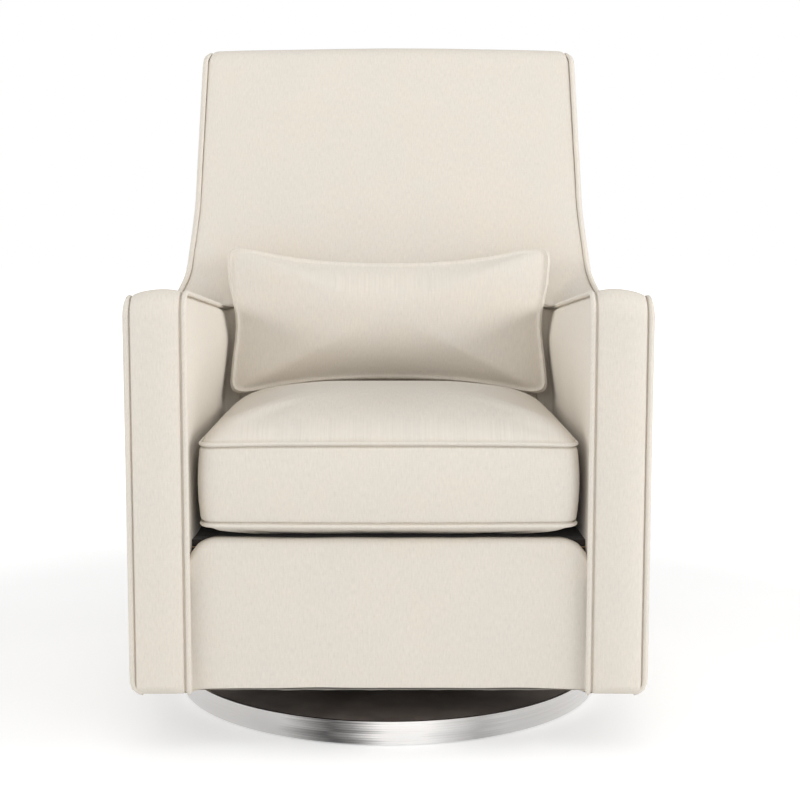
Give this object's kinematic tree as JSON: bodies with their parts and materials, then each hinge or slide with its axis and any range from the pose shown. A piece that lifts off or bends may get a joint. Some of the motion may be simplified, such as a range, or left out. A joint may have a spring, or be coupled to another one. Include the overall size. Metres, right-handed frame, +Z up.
{
  "type": "swivel rocker",
  "caption": "Upholstered swivel rocker with a high reclined back, narrow welted arms, box seat cushion and lumbar pillow, on a round steel-banded base.",
  "frame": {"origin": "on the floor, on the swivel axis, under the middle of the chair's overall box", "axes": "+Z up, the sitter faces -Y, +X to the right of someone looking along +Y at the chair's front"},
  "size_m": [0.711, 0.7433, 1.0333],
  "materials": {
    "black_steel": "black powder coat",
    "brushed_steel": "fine brushed lines around the band",
    "dark_board": "dark stained board, satin",
    "deck_felt": "felted padding under plain cloth",
    "dust_cloth": "thin black non-woven cloth",
    "foam": "soft open-cell padding",
    "glide_plastic": "moulded, slightly worn",
    "hardwood": "bare planed hardwood",
    "nylon": "natural moulded nylon",
    "plywood": "bare birch plywood",
    "rubber": "moulded black rubber",
    "spring_steel": "oiled spring wire",
    "upholstery_fabric": "oatmeal linen-look weave",
    "webbing": "elastic woven strap",
    "welt_fabric": "the same cloth, cut on the bias over cord",
    "zinc_steel": "zinc plated"
  },
  "bodies": {
    "base": {"base_band": "brushed_steel", "base_disc": "dark_board", "floor_glides": "glide_plastic", "turntable_lower_plate": "black_steel", "turntable_balls": "zinc_steel", "ball_cage": "nylon", "pivot_rivet": "zinc_steel", "turntable_bolts": "zinc_steel"},
    "swivel_frame": {"turntable_upper_plate": "black_steel", "rocker_cradle": "black_steel", "cradle_bolts": "zinc_steel", "pivot_pins": "zinc_steel", "spacer_washers": "nylon", "bump_stops": "rubber", "spring_front_left": "spring_steel", "spring_front_right": "spring_steel", "spring_rear_left": "spring_steel", "spring_rear_right": "spring_steel"},
    "chair": {"apron": "upholstery_fabric", "arm_bolts": "zinc_steel", "arm_boxing_left": "upholstery_fabric", "arm_boxing_right": "upholstery_fabric", "arm_front_post_left": "hardwood", "arm_front_post_right": "hardwood", "arm_inner_foam_left": "foam", "arm_inner_foam_right": "foam", "arm_inner_panel_left": "upholstery_fabric", "arm_inner_panel_right": "upholstery_fabric", "arm_outer_panel_left": "upholstery_fabric", "arm_outer_panel_right": "upholstery_fabric", "arm_welts_left": "welt_fabric", "arm_welts_right": "welt_fabric", "back_rail_foot": "hardwood", "back_rail_lumbar": "hardwood", "back_rail_top": "hardwood", "back_webbing": "webbing", "corner_blocks": "hardwood", "cross_rail_front": "hardwood", "cross_rail_rear": "hardwood", "dust_cover": "dust_cloth", "inside_back": "upholstery_fabric", "lumbar_pillow": "upholstery_fabric", "outside_back": "upholstery_fabric", "pivot_bushes": "nylon", "rocker_arm_left": "black_steel", "rocker_arm_right": "black_steel", "seat_cushion": "upholstery_fabric", "seat_deck": "deck_felt", "seat_rail_front": "hardwood", "seat_rail_left": "hardwood", "seat_rail_rear": "hardwood", "seat_rail_right": "hardwood", "seat_webbing": "webbing", "side_frame_left": "plywood", "side_frame_right": "plywood"}
  },
  "joints": [
    {"name": "swivel", "type": "hinge", "parent": "base", "child": "swivel_frame", "pos_m": [0, 0, 0.0398], "axis": [0, 0, 1], "continuous": true},
    {"name": "rock", "type": "hinge", "parent": "swivel_frame", "child": "chair", "pos_m": [0, 0, 0.12], "axis": [1, 0, 0], "range_deg": [-8, 6], "stiffness_Nm_per_rad": 900, "deforming": ["spring_front_left", "spring_front_right", "spring_rear_left", "spring_rear_right"]}
  ]
}
